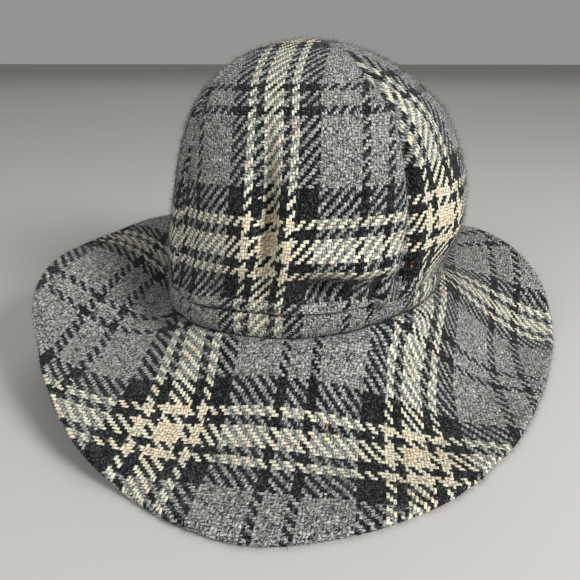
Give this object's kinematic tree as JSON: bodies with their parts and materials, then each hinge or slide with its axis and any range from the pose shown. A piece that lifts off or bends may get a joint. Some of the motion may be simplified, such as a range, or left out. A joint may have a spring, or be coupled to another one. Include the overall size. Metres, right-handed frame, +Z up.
{
  "type": "wide-brimmed tweed hat",
  "caption": "Soft round-crowned tweed hat with a plain cloth band and a wide floppy brim that sags to the surface and turns up at the sides.",
  "frame": {"origin": "on the surface the hat rests on, under the middle of the hat's outline as seen from above", "axes": "+Z up, -Y towards the front of the hat, +X towards the wearer's left"},
  "size_m": [0.3164, 0.363, 0.1808],
  "materials": {
    "tweed": "coarse woollen twill, matt and slightly hairy"
  },
  "bodies": {
    "root": {"crown_gore_front": "tweed", "crown_gore_left": "tweed", "crown_gore_back": "tweed", "crown_gore_right": "tweed", "crown_band": "tweed", "brim_upper": "tweed", "brim_under": "tweed"}
  },
  "joints": []
}
